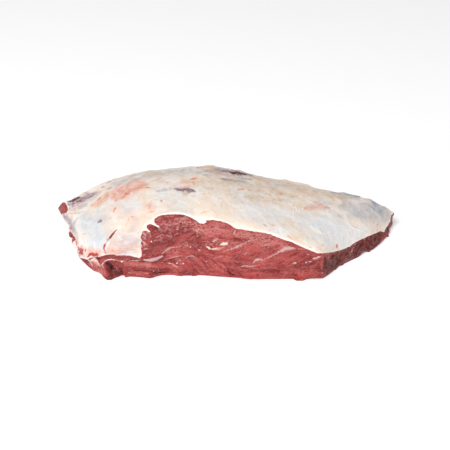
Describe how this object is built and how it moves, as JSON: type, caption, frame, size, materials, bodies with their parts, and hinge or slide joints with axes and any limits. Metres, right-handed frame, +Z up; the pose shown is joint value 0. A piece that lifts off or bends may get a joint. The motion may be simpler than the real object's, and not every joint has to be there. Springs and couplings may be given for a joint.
{
  "type": "raw beef oyster blade",
  "caption": "Whole raw beef oyster blade lying flat: lean muscle cut clean along the front and one end, under a thin cover of fat and silverskin.",
  "frame": {"origin": "on the flat underside, below the middle of the bounding box", "axes": "+Z up, +X along the length towards the thin cut end, +Y from the cut front towards the back"},
  "size_m": [0.4092, 0.1876, 0.0783],
  "materials": {
    "lean": "moist raw beef, red with fine pale marbling and a soft sheen",
    "fat": "raw fat and silverskin, cream to bluish white, satin"
  },
  "bodies": {
    "root": {"lean": "lean", "fat_cover": "fat"}
  },
  "joints": []
}
